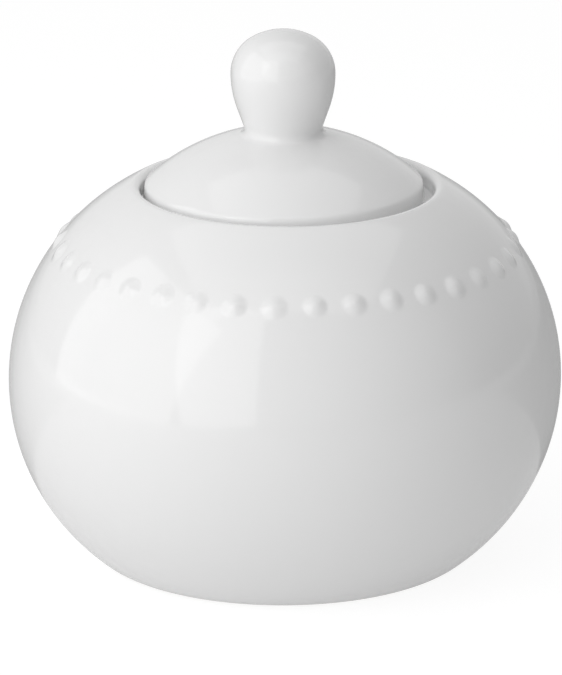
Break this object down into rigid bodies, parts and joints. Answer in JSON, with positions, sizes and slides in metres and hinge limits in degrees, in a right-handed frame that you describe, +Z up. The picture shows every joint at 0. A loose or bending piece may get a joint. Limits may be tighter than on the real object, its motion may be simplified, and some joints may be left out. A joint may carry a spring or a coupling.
{
  "type": "lidded sugar bowl",
  "caption": "Squat round glazed bowl with a bead band on its shoulder and a recessed domed lid with a ball knob that lifts out of its seat to reach the sugar.",
  "frame": {"origin": "centre of the foot ring, on the plane that the bowl stands on", "axes": "+Z up along the axis of the bowl, lid and knob; the pot looks the same from every side, so -Y is taken as its front"},
  "size_m": [0.11, 0.11, 0.1064],
  "materials": {
    "bowl_glaze": "clear gloss glaze over a white body",
    "lid_glaze": "clear gloss glaze over a white body",
    "bare_foot": "bare fired clay, wiped clean of glaze"
  },
  "bodies": {
    "bowl": {"bowl_shell": "bowl_glaze", "foot_ring": "bare_foot", "bead_row": "bowl_glaze"},
    "lid": {"lid_dome": "lid_glaze", "lid_collar": "lid_glaze", "lid_knob": "lid_glaze"}
  },
  "joints": [
    {"name": "lid_lift", "type": "slide", "parent": "bowl", "child": "lid", "axis": [0, 0, 1], "range_m": [0, 0.06]}
  ]
}
